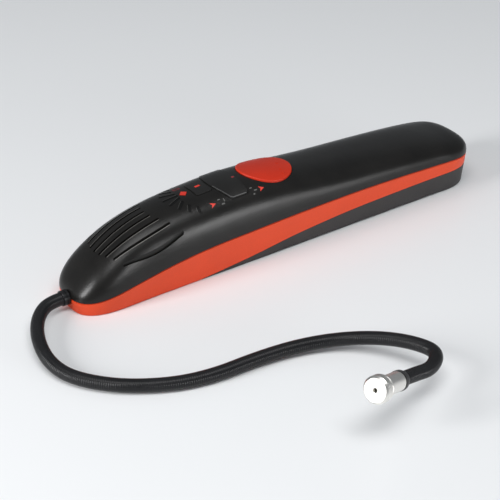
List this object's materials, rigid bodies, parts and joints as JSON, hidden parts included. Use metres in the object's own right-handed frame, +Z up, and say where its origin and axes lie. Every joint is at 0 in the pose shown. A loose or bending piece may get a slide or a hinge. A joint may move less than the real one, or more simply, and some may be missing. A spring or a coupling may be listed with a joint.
{
  "type": "electronic leak detector",
  "caption": "Hand-held refrigerant leak detector with keys, a fan of lights, a sounder grille and a self-holding gooseneck probe that ends in a sensor tip.",
  "frame": {"origin": "on the flat underside, in the middle of the casing's length and width", "axes": "+X from the nose with the gooseneck to the tail, +Z up from the underside to the keys, +Y to the left seen from the tail towards the nose"},
  "size_m": [0.3208, 0.221, 0.048],
  "materials": {
    "cover": "fine-grained black moulding",
    "shell": "satin orange moulding",
    "grip": "fine-grained grey-black moulding",
    "key": "smooth satin black",
    "oval": "satin deep orange",
    "clear": "clear light guide",
    "red_lens": "clear red",
    "board": "green solder mask",
    "steel": "bright zinc plate",
    "switch": "black moulding",
    "lamp": "tinted clear lens",
    "sounder": "black moulding",
    "foam": "closed-cell foam",
    "pump": "natural white moulding",
    "motor": "drawn steel can",
    "nickel": "nickel plate",
    "hose": "clear grey hose",
    "cell": "plain sleeved cell",
    "gooseneck": "glossy black ribbed sleeve",
    "ferrule": "black moulding",
    "sensor": "mesh-faced can"
  },
  "bodies": {
    "casing": {"top_cover": "cover", "body_shell": "shell", "grip_shell": "grip", "light_guide": "clear", "status_lens": "red_lens", "main_board": "board", "board_screws": "steel", "key_switches": "switch", "indicator_lamps": "lamp", "case_screws": "steel", "sounder": "sounder", "sounder_gasket": "foam", "pump_head": "pump", "pump_motor": "motor", "probe_collar": "ferrule", "probe_nut": "steel", "sample_hose": "hose", "battery_cell_1": "cell", "battery_cell_2": "cell", "battery_cell_3": "cell", "battery_cell_4": "cell", "coil_contacts": "steel", "plate_contacts": "steel", "gooseneck": "gooseneck", "tip_ferrule": "ferrule", "tip_neck": "nickel", "sensor_element": "sensor"},
    "power_key_body": {"power_key": "key"},
    "mode_key_body": {"mode_key": "key"},
    "oval_button_body": {"oval_button": "oval"},
    "battery_door_body": {"battery_door": "grip"},
    "tip_cap_body": {"tip_cap": "nickel"}
  },
  "joints": [
    {"name": "power_key_press", "type": "slide", "parent": "casing", "child": "power_key_body", "axis": [0, 0, -1], "range_m": [0, 0.0008], "stiffness_N_per_m": 600, "springref_m": -0.0005},
    {"name": "mode_key_press", "type": "slide", "parent": "casing", "child": "mode_key_body", "axis": [0, 0, -1], "range_m": [0, 0.0008], "stiffness_N_per_m": 600, "springref_m": -0.0005},
    {"name": "oval_button_press", "type": "slide", "parent": "casing", "child": "oval_button_body", "axis": [0, 0, -1], "range_m": [0, 0.0012], "stiffness_N_per_m": 600, "springref_m": -0.0005},
    {"name": "battery_door_slide", "type": "slide", "parent": "casing", "child": "battery_door_body", "axis": [1, 0, 0], "range_m": [0, 0.04]},
    {"name": "tip_cap_unscrew", "type": "slide", "parent": "casing", "child": "tip_cap_body", "axis": [-0.8969, -0.3127, 0.3127], "range_m": [0, 0.008]}
  ]
}
